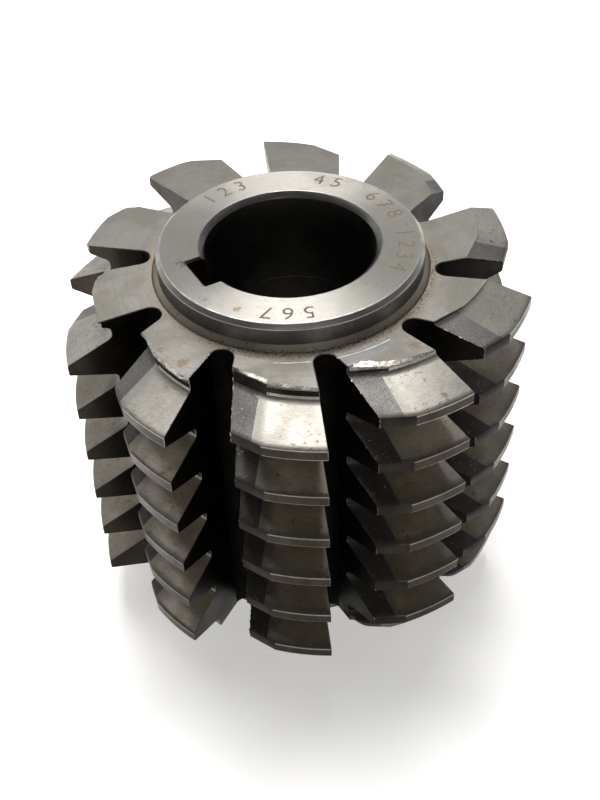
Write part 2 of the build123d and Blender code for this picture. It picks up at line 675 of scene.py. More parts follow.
    def close_gash(self, shell: BMesh) -> None:
        """Cuts the row off at the heel, closes both gash walls and rounds the gash's root.

        Args:
            shell: The swept and trimmed comb.
        """
        sizes = self.sizes
        heel_comb = cut_off(shell, sizes.heel_apex, sizes.heel_outwards)
        angle = math.radians(sizes.gash_angle)
        heel_foot = turned_point(
            sizes.gash_centre - sizes.gash_root * math.sin(angle),
            sizes.gash_root * (1 + math.cos(angle)),
            -sizes.row_pitch,
        )
        self.close_wall(shell, heel_comb, heel_foot, Zone.HEEL_WALL)
        face_comb = [e for e in shell.edges if all(abs(v.co.y) < 1e-5 for v in e.verts)]
        foot = Vector((sizes.gash_centre, 0, 0))
        upright = self.close_wall(shell, face_comb, foot, Zone.CUTTING_FACE)
        faces_before = set(shell.faces)
        centre = (sizes.gash_centre, sizes.gash_root, 0)
        spin(shell, [upright, *upright.verts], -(math.pi - angle), self.root_steps, centre)
        for face in set(shell.faces) - faces_before:
            face.material_index = Zone.GASH_ROOT

    def cut_ends(self, shell: BMesh) -> None:
        """Cuts the row off just inside both end faces, where their broken edges start.

        Args:
            shell: The closed row.
        """
        sizes = self.sizes
        for face, side in ((sizes.high_face, 1), (sizes.low_face, -1)):
            level = face - side * self.edge_break
            cut_off(shell, (0, 0, level), (0, 0, side))
            rim = [v for v in shell.verts if abs(v.co.z - level) < MERGE]
            bmesh.ops.remove_doubles(shell, verts=rim, dist=10 * MERGE)
        bmesh.ops.recalc_face_normals(shell, faces=shell.faces)

    def wear_edges(self, shell: BMesh, wall: Zone, width: float, worn_zone: Zone) -> None:
        """Gives the edges round a wall of the gash a narrow worn bevel.

        Args:
            shell: The closed row.
            wall: The zone of the wall.
            width: The width of the bevel.
            worn_zone: The zone of the bevel's faces.
        """
        edges = [
            e
            for e in shell.edges
            if len(e.link_faces) == 2
            and sum(f.material_index == wall for f in e.link_faces) == 1
            and min(plan_radius(v.co) for v in e.verts) > self.sizes.gash_centre + 1
        ]
        for face in bevel(shell, edges, "EDGES", width, 1, slide=True):
            face.material_index = worn_zone

    def raise_heel_burr(self, shell: BMesh, step: int) -> None:
        """Pulls the flanks' rear edges out into a fine saw-like burr.

        Args:
            shell: The row with its worn edges.
            step: The number of the row.
        """
        both = {Zone.HEEL_EDGE, Zone.HEEL_WALL}
        rear = [e for e in shell.edges if {f.material_index for f in e.link_faces} == both]
        bmesh.ops.subdivide_edges(shell, edges=rear, cuts=self.burr_cuts)
        outwards = self.sizes.heel_outwards
        for vert in shell.verts:
            if {f.material_index for f in vert.link_faces} >= both:
                x_pitch, row_pitch, z_pitch = self.burr_pitch
                spot = Vector((vert.co.x * x_pitch, step * row_pitch, vert.co.z * z_pitch))
                ragged = max(0.0, self.burr_mean + waves(spot, *self.burr_waves))
                vert.co += outwards * self.burr * min(1.0, ragged)

    def build(self, step: int) -> Mesh:
        """Builds one row at its place on the hob.

        Args:
            step: The number of the row.

        Returns:
            The open shell of the row.
        """
        sizes = self.sizes
        shell = bmesh.new()
        self.sweep(shell, self.comb(shell))
        self.mark_zones(shell)
        bmesh.ops.translate(shell, verts=shell.verts, vec=(0, 0, -sizes.lead * step / sizes.rows))
        self.trim_end_thread(shell, step, sizes.high_face, 1)
        self.trim_end_thread(shell, step, sizes.low_face, -1)
        self.close_gash(shell)
        self.cut_ends(shell)
        self.wear_edges(shell, Zone.CUTTING_FACE, self.keen_width, Zone.KEEN_EDGE)
        self.wear_edges(shell, Zone.HEEL_WALL, self.heel_width, Zone.HEEL_EDGE)
        if step in self.burred:
            self.raise_heel_burr(shell, step)
        turn(shell, shell.verts, sizes.face_azimuth(step))
        return written(shell, "tooth_row")


# ------------------------------------------------------------------ whole toothed body


@dataclass(frozen=True)
class ToothedBody:
    """All ten tooth rows between the two end faces."""

    sizes: HobSizes
    row: ToothRow
    circle_steps: int = 180
    tear_reach: float = 1.5  # how far outside the gash roots the torn rims start
    rim_mean: float = 0.85
    rim_least: float = 0.15
    rim_waves: tuple[tuple[float, float], ...] = ((0.5, 0.9), (0.5, 2.7))
    sag_mean: float = 0.7
    sag_height: float = 0.9
    sag_pitch: float = 1.3
    sag_start: Vector = Vector((9, 4, 2)).freeze()
    lip_pitch: float = 1.9

    def end_face(self, body: BMesh, height: float, side: int) -> None:
        """Closes an end face inside a broken edge.

        Args:
            body: The mesh of the rows.
            height: The height of the end face.
            side: 1 at the top and -1 at the bottom.
        """
        edge_break = self.row.edge_break
        level = height - side * edge_break
        outline = [
            e for e in body.edges if e.is_boundary and all(abs(v.co.z - level) < MERGE for v in e.verts)
        ]
        circle = bmesh.ops.create_circle(
            body,
            segments=self.circle_steps,
            radius=self.sizes.hub_foot,
            matrix=Matrix.Translation((0, 0, level)),
        )
        hub_edges = list(dict.fromkeys(e for v in circle["verts"] for e in v.link_edges))
        filled = bmesh.ops.triangle_fill(
            body, edges=[*outline, *hub_edges], use_beauty=True, normal=(0, 0, side)
        )
        plane = [item for item in filled["geom"] if isinstance(item, BMFace)]
        for face in plane:
            face.normal_update()
            if face.normal.z * side < 0:
                face.normal_flip()
            face.material_index = Zone.END_FACE
        rim = bmesh.ops.inset_region(
            body,
            faces=plane,
            thickness=edge_break,
            depth=edge_break,
            use_even_offset=True,
            use_boundary=True,
        )
        for face in rim["faces"]:
            face.material_index = Zone.KEEN_EDGE
        if side > 0:
            self.tear(rim["faces"], height)

    def tear(self, rim: list[BMFace], height: float) -> None:
        """Roughens the rim of the hand-trimmed end threads.

        Args:
            rim: The faces of the broken edge round the end face.
            height: The height of the end face.
        """
        sizes = self.sizes
        reached = sizes.row_sweep - sizes.gash_floor_angle
        moved: set[BMVert] = set()
        for face in rim:
            centre = face.calc_center_median()
            if plan_radius(centre) <= sizes.gash_centre + self.tear_reach:
                continue
            for torn in self.row.torn:
                angle = (sizes.face_azimuth(torn.row) + behind(centre)) % 360
                if angle < reached and torn.drop > 0:
                    self.tear_face(face, torn, height, angle / reached, moved)

    def tear_face(
        self, face: BMFace, torn: TornEdge, height: float, share: float, moved: set[BMVert]
    ) -> None:
        """Widens one face of the rim by an uneven amount and roughens the lip under it.

        Args:
            face: A face of the broken edge.
            torn: How rough that row's edge is.
            height: The height of the end face.
            share: The face's place from the cutting face to the heel, from 0 to 1.
            moved: The vertices that have been moved; it grows.
        """
        upper = [v for v in face.verts if abs(v.co.z - height) < MERGE and v not in moved]
        lower = [v for v in face.verts if v.co.z < height - self.row.edge_break / 2]
        for vert in upper:
            across = [e.other_vert(vert) for e in vert.link_edges if e.other_vert(vert) in lower]
            if not across:
                continue
            inwards = vert.co - across[0].co
            inwards.z = 0
            rough = self.rim_mean + waves(vert.co, *self.rim_waves)
            vert.co += inwards.normalized() * torn.width(share) * max(self.rim_least, rough)
            moved.add(vert)
        for vert in lower:
            if vert in moved:
                continue
            for side_face in vert.link_faces:
                if side_face.material_index in (Zone.GROUND_FLANK, Zone.ROUGH_BACK, Zone.THREAD_ROOT):
                    side_face.material_index = Zone.TORN_EDGE
            outwards = Vector((vert.co.x, vert.co.y, 0)).normalized()
            sag = self.sag_mean + self.sag_height * noise.noise(vert.co * self.sag_pitch + self.sag_start)
            drop = torn.drop * torn.fade(share)
            vert.co.z -= drop * max(0.0, sag)
            vert.co += outwards * drop * noise.noise(vert.co * self.lip_pitch)
            moved.add(vert)
        face.material_index = Zone.TORN_EDGE

    def build(self) -> BMesh:
        """Builds the toothed body.

        Returns:
            Its mesh, open along the foot of each hub.
        """
        body = bmesh.new()
        for step in range(self.sizes.rows):
            take_in(body, self.row.build(step))
        bmesh.ops.remove_doubles(body, verts=body.verts, dist=MERGE)
        self.end_face(body, self.sizes.high_face, 1)
        self.end_face(body, self.sizes.low_face, -1)
        return body


# ------------------------------------------------------------------ hubs and bore


@dataclass(frozen=True)
class HubSleeve:
    """The turned part of the hob: both hubs, the bore with its ground lands, and the keyway."""

    sizes: HobSizes
    foot_drop: float
    circle_steps: int = 180
    edge_round: float = 0.12
    round_depth: float = 3.0  # the corners that are rounded lie no deeper than this
    cut_past: float = 1.4  # how far the keyway's cutter stands out and flares at each end
    slack: float = 0.1

    def outline(self) -> list[tuple[float, float]]:
        """Sets out the turned profile.

        Returns:
            Its corners as radius and height, the upper half first.
        """
        sizes = self.sizes
        top, chamfer, recess = sizes.length, sizes.bore_chamfer, sizes.bore_recess
        bore, hub = sizes.bore_radius, sizes.hub_radius
        upper_half = [
            (bore + recess, top / 2),
            (bore + recess, top - sizes.bore_land - recess),
            (bore, top - sizes.bore_land),
            (bore, top - chamfer),
            (bore + chamfer, top),
            (hub - sizes.hub_chamfer, top),
            (hub, top - sizes.hub_chamfer),
            (hub, sizes.high_face + sizes.hub_root),
            (sizes.hub_foot, sizes.high_face - self.foot_drop),
        ]
        lower_half = [(radius, top - height) for radius, height in upper_half]
        return [*upper_half, *reversed(lower_half[1:])]

    def turned(self) -> Mesh:
        """Turns the closed profile round the axis.

        Returns:
            A closed ring, whose outer wall is hidden inside the teeth.
        """
        ring = bmesh.new()
        verts = [ring.verts.new((radius, 0, height)) for radius, height in self.outline()]
        for pair in zip(verts, [*verts[1:], verts[0]]):
            ring.edges.new(pair)
        rounded = [v for v in verts if self.depth_in(v.co) < self.round_depth]
        bevel(ring, rounded, "VERTICES", self.edge_round, 2)
        spin(ring, [*ring.verts, *ring.edges], 2 * math.pi, self.circle_steps, full=True)
        bmesh.ops.remove_doubles(ring, verts=ring.verts, dist=MERGE)
        bmesh.ops.recalc_face_normals(ring, faces=ring.faces)
        for face in ring.faces:
            face.material_index = self.zone_of(face.calc_center_median())
        return written(ring, "hub_ring")

    def depth_in(self, point: Vector) -> float:
        """Distance of a point inside the nearer end of the hob."""
        return min(point.z, self.sizes.length - point.z)

    def zone_of(self, centre: Vector) -> Zone:
        """Zone of a face of the turned ring.

        Args:
            centre: The middle of the face.

        Returns:
            Its zone.
        """
        sizes = self.sizes
        radius, end = plan_radius(centre), self.depth_in(centre)
        if radius > sizes.hub_radius + sizes.hub_root / 4:
            return Zone.END_FACE
        if end < self.slack / 10:
            return Zone.HUB_FACE
        if end < self.edge_round and radius > sizes.hub_radius - 2 * sizes.hub_chamfer:
            return Zone.HUB_RIM
        if radius < sizes.bore_radius + sizes.bore_chamfer + self.slack:
            return Zone.BORE_WALL
        return Zone.HUB_EDGE if end < sizes.hub_chamfer + self.edge_round else Zone.HUB_SIDE

    def key_cutter(self) -> Mesh:
        """Makes the bar that cuts the keyway and breaks its edges at both ends.

        Returns:
            The cutter's closed mesh.
        """
        sizes = self.sizes
        reach = sizes.bore_radius + sizes.keyway_depth
        inner = sizes.bore_radius / 2
        lengths = (reach - inner, sizes.keyway_width, sizes.length - 2 * sizes.keyway_break)
        centre = Vector((-(reach + inner) / 2, 0, sizes.length / 2))
        bar = bmesh.new()
        bmesh.ops.create_cube(bar, size=1)
        bmesh.ops.scale(bar, verts=bar.verts, vec=lengths)
        bmesh.ops.translate(bar, verts=bar.verts, vec=centre)
        corners = [
            e
            for e in bar.edges
            if all(v.co.x < -reach + MERGE for v in e.verts) and e.calc_length() > lengths[1] + 1
        ]
        bevel(bar, corners, "EDGES", sizes.keyway_corner, 3)
        flare = [1 + 2 * self.cut_past / length for length in lengths[:2]]
        for side in (1, -1):
            bar.normal_update()
            end = [f for f in bar.faces if f.normal.z * side > 0.9]
            flared = bmesh.ops.extrude_face_region(bar, geom=end)
            bmesh.ops.delete(bar, geom=end, context="FACES_ONLY")
            verts = [item for item in flared["geom"] if isinstance(item, BMVert)]
            bmesh.ops.translate(bar, verts=verts, vec=(0, 0, side * self.cut_past))
            bmesh.ops.scale(bar, verts=verts, vec=(*flare, 1), space=Matrix.Translation(-centre))
        bmesh.ops.recalc_face_normals(bar, faces=bar.faces)
        for face in bar.faces:
            face.material_index = Zone.KEYWAY
        return written(bar, "key_cutter")

    def build(self) -> Mesh:
        """Cuts the keyway out of the turned ring and opens the ring towards the teeth.

        Returns:
            The sleeve's mesh, open along the foot of each hub.
        """
        ring = bpy.data.objects.new("hub_ring", self.turned())
        bar = bpy.data.objects.new("key_cutter", self.key_cutter())
        for blank in (ring, bar):
            bpy.context.scene.collection.objects.link(blank)
            for _ in Zone:
                blank.data.materials.append(None)
        cut = ring.modifiers.new("keyway", "BOOLEAN")
        cut.operation = "DIFFERENCE"
        cut.solver = "EXACT"
        cut.object = bar
        cut_ring = evaluated(ring)
        sleeve = bmesh.new()
        sleeve.from_mesh(cut_ring.to_mesh())
        cut_ring.to_mesh_clear()
        foot = self.sizes.hub_foot
        hidden = [
            f
            for f in sleeve.faces
            if all(abs(plan_radius(v.co) - foot) < self.slack / 10 for v in f.verts)
        ]
        bmesh.ops.delete(sleeve, geom=hidden, context="FACES")
        for blank in (ring, bar):
            bpy.data.meshes.remove(blank.data)
        return written(sleeve, "hub_sleeve")


# ------------------------------------------------------------------ materials

MATH, VECTOR_MATH, MAP_RANGE = "ShaderNodeMath", "ShaderNodeVectorMath", "ShaderNodeMapRange"
SMOOTH = {"interpolation_type": "SMOOTHSTEP"}
CLOUD_ROUGHNESS = 0.55

# Where each kind of cloud is thin and thick, and its detail
PATCHY, GRAINY, STREAKY, CRUMBLED = (0.35, 0.65, 4), (0.45, 0.62, 2), (0.42, 0.6, 2), (0.46, 0.62, 6)
# How soft the rims of each kind of spot are, and how broken
BLOTCHED, CLUSTERED, SPECKLED, GLINTING, SPARKLING = (0.16, 4), (0.16, 2), (0.05, 1), (0.05, 0), (0.1, 3)
Layer = tuple[str, tuple[NodeSocket | float, ...]]  # a colour, and the factors of its share


def linear(code: str) -> tuple[float, float, float, float]:
    """Turns an sRGB hex colour into linear red, green, blue and alpha."""
    parts = [int(code[start : start + 2], 16) / 255 for start in (1, 3, 5)]
    return (*[c / 12.92 if c <= 0.04045 else ((c + 0.055) / 1.055) ** 2.4 for c in parts], 1.0)


def feed(tree: NodeTree, node: Node, inputs: dict) -> None:
    """Gives a node's inputs their values and links.

    Args:
        tree: The node tree.
        node: The node.
        inputs: Values or output sockets, by the name or number of the input that takes them.
    """
    for name, value in inputs.items():
        if isinstance(value, NodeSocket):
            tree.links.new(value, node.inputs[name])
        else:
            node.inputs[name].default_value = value


def add_node(
    tree: NodeTree, kind: str, inputs: dict | None = None, out: int | str = 0, **settings: object
) -> NodeSocket:
    """Adds a node with its settings, values and links.

    Args:
        tree: The node tree.
        kind: The node's type.
        inputs: Values or output sockets, by the name or number of the input that takes them.
        out: The name or number of the output that is wanted.
        settings: The node's own properties.

    Returns:
        That output.
    """
    node = tree.nodes.new(kind)
    for name, value in settings.items():
        setattr(node, name, value)
    feed(tree, node, inputs or {})
    return node.outputs[out]


def new_material(name: str) -> tuple[Material, NodeTree, Node]:
    """Makes a material.

    Args:
        name: The name of the material.

    Returns:
        The material, its node tree and its shader.
    """
    material = bpy.data.materials.new(name)
    material.use_nodes = True
    return material, material.node_tree, material.node_tree.nodes["Principled BSDF"]


def axis_distance(tree: NodeTree, place: NodeSocket) -> NodeSocket:
    """Distance of a place from the bore axis."""
    level = add_node(tree, VECTOR_MATH, {0: place, 1: (1, 1, 0)}, operation="MULTIPLY")
    return add_node(tree, VECTOR_MATH, {0: level}, out=1, operation="LENGTH")


@dataclass(frozen=True)
class Clouds:
    """Clouds about so many millimetres across, thin below low and thick above high."""

    size: float
    low: float
    high: float
    detail: float

    def build(self, tree: NodeTree, place: NodeSocket) -> tuple[NodeSocket, NodeSocket]:
        """Adds the clouds to a material.

        Args:
            tree: The node tree.
            place: Coordinates in millimetres.

        Returns:
            The raw clouds, and a mask that is 0 where they are thin and 1 where they are thick.
        """
        shape = {"Vector": place, "Scale": 1 / self.size, "Detail": self.detail, "Roughness": CLOUD_ROUGHNESS}
        raw = add_node(tree, "ShaderNodeTexNoise", shape)
        return raw, add_node(tree, MAP_RANGE, {0: raw, 1: self.low, 2: self.high}, **SMOOTH)


@dataclass(frozen=True)
class Spots:
    """Scattered spots of a colour, their size in millimetres and the share that they cover."""

    colour: str
    size: float
    share: float

    def mask(self, tree: NodeTree, place: NodeSocket, soft: float, detail: float) -> NodeSocket:
        """Adds the spots' mask to a material.

        Args:
            tree: The node tree.
            place: Coordinates in millimetres.
            soft: How soft the rims are.
            detail: How broken the outlines are.

        Returns:
            A mask that is 1 inside the spots.
        """
        low = 0.76 - 0.3 * self.share
        return Clouds(self.size, low, low + soft, detail).build(tree, place)[1]


@dataclass(frozen=True)
class RustSpots:
    """Ragged spots of rust. Each has the three measures of its place, and its size."""

    colour: str
    spots: tuple[tuple[float, float, float, float], ...]
    grain: float = 0.6
    ragged: float = 2.6
    outside: float = 1.9
    inside: float = 1.4

    def layers(self, tree: NodeTree, place: NodeSocket) -> list[Layer]:
        """Adds the spots to a material.

        Args:
            tree: The node tree.
            place: Coordinates in millimetres.

        Returns:
            A layer for each spot.
        """
        crumbs = Clouds(self.grain, *CRUMBLED).build(tree, place)[0]
        uneven = add_node(tree, MATH, {0: crumbs, 1: self.ragged}, operation="MULTIPLY")
        layers = []
        for *centre, size in self.spots:
            away = add_node(tree, VECTOR_MATH, {0: place, 1: centre}, out=1, operation="DISTANCE")
            edge = {0: away, 1: self.grain / size, 2: uneven}
            edge = add_node(tree, MATH, edge, operation="MULTIPLY_ADD")
            spot = add_node(tree, MAP_RANGE, {0: edge, 1: self.outside, 2: self.inside}, **SMOOTH)
            layers.append((self.colour, (spot,)))
        return layers


@dataclass(frozen=True)
class FootDirtAndPaintedLight:
    """Dirt and old oil round the foot of the hub, with crumbs of it at the front, painted shade in the crease
    at the hub's foot and painted light on the hub's bevel.
    """

    reach: float = 28.6
    # The dark line at line_radius is painted shade in the crease where the hub's bevel meets the end face
    line_radius: float = 26.0
    crease_shade_width: float = 0.13
    crease_shade_share: float = 0.4
    line: str = "#1E1B18"
    foot: str = "#877A69"
    foot_share: float = 0.5
    grime: str = "#3B342C"
    front: tuple[float, float] = (-3.0, -15.0)
    crumbs: Clouds = Clouds(0.5, *CRUMBLED)
    # Painted light: the hub's bevel is given a lighter tone
    bevel: str = "#9A9184"
    bevel_ends: tuple[float, float] = (26.3, 25.2)

    def layers(self, tree: NodeTree, place: NodeSocket) -> list[Layer]:
        """The layers of dirt, of painted shade in the crease at the hub's foot and of painted light on its
        bevel.

        Args:
            tree: The node tree.
            place: Coordinates in millimetres.

        Returns:
            The layers, from the bottom up.
        """
        radius = axis_distance(tree, place)
        across = add_node(tree, "ShaderNodeSeparateXYZ", {0: place}, out=1)
        near, front, bevel = [
            add_node(tree, MAP_RANGE, {0: value, 1: start, 2: end}, **SMOOTH)
            for value, (start, end) in (
                (radius, (self.reach, self.line_radius)),
                (across, self.front),
                (radius, self.bevel_ends),
            )
        ]
        # Painted shade: a dark line in the crease at the hub's foot
        line = {0: radius, 1: self.line_radius, 2: self.crease_shade_width}
        return [
            (self.foot, (near, self.foot_share)),
            (self.grime, (near, front, self.crumbs.build(tree, place)[1])),
            # painted light: the lighter bevel
            (self.bevel, (bevel,)),
            (self.line, (add_node(tree, MATH, line, operation="COMPARE"), self.crease_shade_share)),
        ]


@dataclass(frozen=True)
class SteelFinish:
    """A surface of bare tool steel: its tones, stains, specks and machining marks.

    Sizes are in millimetres, and shares and tones go from 0 to 1.
    """

    name: str
    bright: str
    dull: str
    patch: float = 6.0
    roughness: float = 0.35
    dulling: float = 0.12
    metallic: float = 1.0
    anisotropy: float = 0.0
    shade: str = "#1E1B18"
    lay: Lay | None = None
    lay_width: float = 0.25
    lay_length: float = 40.0  # how many times longer than wide the marks are
    lay_radius: float = 40.0  # the mean radius of the marks that run round the axis
    lay_tone: float = 0.15
    lay_bump: float = 0.15
    grain: float = 0.15
    grain_tone: float = 0.1
    grain_bump: float = 0.1
    bump_depth: float = 0.1
    stain: Spots | None = None
    stain_clusters: Spots = Spots("", 5.0, 0.9)
    stain_depth: float = 0.9
    foot_dirt_and_painted_light: FootDirtAndPaintedLight | None = None
    specks: Spots | None = None
    rust: RustSpots | None = None
    # A dark tone over a share of the surface makes it darker lower down, between these heights
    lower_darkening_share: float = 0.0
    lower_darkening_heights: tuple[float, float] = (67.0, 60.0)
    # Painted glints: bright specks that stand in for highlights
    painted_glints: Spots | None = None
    painted_glint_clusters: Spots = Spots("", 1.6, 0.75)

    def lay_place(self, tree: NodeTree, place: NodeSocket) -> NodeSocket:
        """Coordinates drawn out along the machining marks.

        Args:
            tree: The node tree.
            place: Coordinates in millimetres.

        Returns:
            Coordinates that change fast across the marks and slowly along them.
        """
        across, along = 1 / self.lay_width, 1 / self.lay_width / self.lay_length
        shares = (across, across, along)
        if self.lay is Lay.ROUND_AXIS:
            x, y, z = [add_node(tree, "ShaderNodeSeparateXYZ", {0: place}, out=i) for i in range(3)]
            angle = add_node(tree, MATH, {0: y, 1: x}, operation="ARCTAN2")
            rolled = {0: angle, 1: axis_distance(tree, place), 2: z}
            place = add_node(tree, "ShaderNodeCombineXYZ", rolled)
            shares = (along * self.lay_radius, across, across)
        return add_node(tree, VECTOR_MATH, {0: place, 1: shares}, operation="MULTIPLY")

    def soiling(self, tree: NodeTree, place: NodeSocket) -> list[Layer]:
        """The layers of stains, dirt, specks, rust, a darkening lower down, and painted glints.

        Args:
            tree: The node tree.
            place: Coordinates in millimetres.

        Returns:
            The layers, from the bottom up.
        """
        layers: list[Layer] = []
        if self.stain:
            blotches = self.stain.mask(tree, place, *BLOTCHED)
            clusters = self.stain_clusters.mask(tree, place, *CLUSTERED)
            layers.append((self.stain.colour, (blotches, clusters, self.stain_depth)))
        if self.foot_dirt_and_painted_light:
            layers += self.foot_dirt_and_painted_light.layers(tree, place)
        if self.specks:
            layers.append((self.specks.colour, (self.specks.mask(tree, place, *SPECKLED),)))
        if self.rust:
            layers += self.rust.layers(tree, place)
        # Darker lower down the hob: the dark tone comes in below a height
        if self.lower_darkening_share > 0:
            height = add_node(tree, "ShaderNodeSeparateXYZ", {0: place}, out=2)
            top, low = self.lower_darkening_heights
            lower_darkening = add_node(tree, MAP_RANGE, {0: height, 1: top, 2: low}, **SMOOTH)
            layers.append((self.shade, (lower_darkening, self.lower_darkening_share)))
        # Painted glints: bright specks, gathered in clusters, that stand in for highlights
        if self.painted_glints:
            painted_glints = self.painted_glints.mask(tree, place, *GLINTING)
            clusters = self.painted_glint_clusters.mask(tree, place, *SPARKLING)
            layers.append((self.painted_glints.colour, (painted_glints, clusters)))
        return layers

    def painted(self, tree: NodeTree, layers: list[Layer]) -> NodeSocket:
        """Lays colours over the bright steel.

        Args:
            tree: The node tree.
            layers: The layers, from the bottom up.

        Returns:
            The finished colour.
        """
        tone = linear(self.bright)
        for colour, (share, *factors) in layers:
            for factor in factors:
                share = add_node(tree, MATH, {0: share, 1: factor}, operation="MULTIPLY")
            mixed = {0: share, 6: tone, 7: linear(colour)}
            tone = add_node(tree, "ShaderNodeMix", mixed, out=2, data_type="RGBA")
        return tone

    def build(self) -> Material:
        """Builds the material.

        Returns:
            The finished material.
        """
        material, tree, shader = new_material(self.name)
        metres = add_node(tree, "ShaderNodeTexCoord", out="Object")
        per_mm = (1 / MM, 1 / MM, 1 / MM)
        place = add_node(tree, VECTOR_MATH, {0: metres, 1: per_mm}, operation="MULTIPLY")
        patches = Clouds(self.patch, *PATCHY).build(tree, place)[1]
        grains, grain_mask = Clouds(self.grain, *GRAINY).build(tree, place)
        layers = [(self.dull, (patches,)), *self.soiling(tree, place)]
        layers.append((self.shade, (grain_mask, self.grain_tone)))
        height = add_node(tree, MATH, {0: grains, 1: self.grain_bump}, operation="MULTIPLY")
        if self.lay:
            marks, mark_mask = Clouds(1, *STREAKY).build(tree, self.lay_place(tree, place))
            layers.append((self.shade, (mark_mask, self.lay_tone)))
            raised = {0: marks, 1: self.lay_bump, 2: height}
            height = add_node(tree, MATH, raised, operation="MULTIPLY_ADD")
        dulled = {0: patches, 1: self.dulling, 2: self.roughness - self.dulling / 2}
        bump = {"Height": height, "Distance": self.bump_depth * MM}
        inputs = {
            "Base Color": self.painted(tree, layers),
            "Metallic": self.metallic,
            "Roughness": add_node(tree, MATH, dulled, operation="MULTIPLY_ADD"),
            "Normal": add_node(tree, "ShaderNodeBump", bump),
        }
        if self.anisotropy > 0:
            turning = add_node(tree, "ShaderNodeTangent", direction_type="RADIAL", axis="Z")
            inputs |= {"Tangent": turning, "Anisotropic": self.anisotropy, "Anisotropic Rotation": 0.25}
        feed(tree, shader, inputs)
        return material


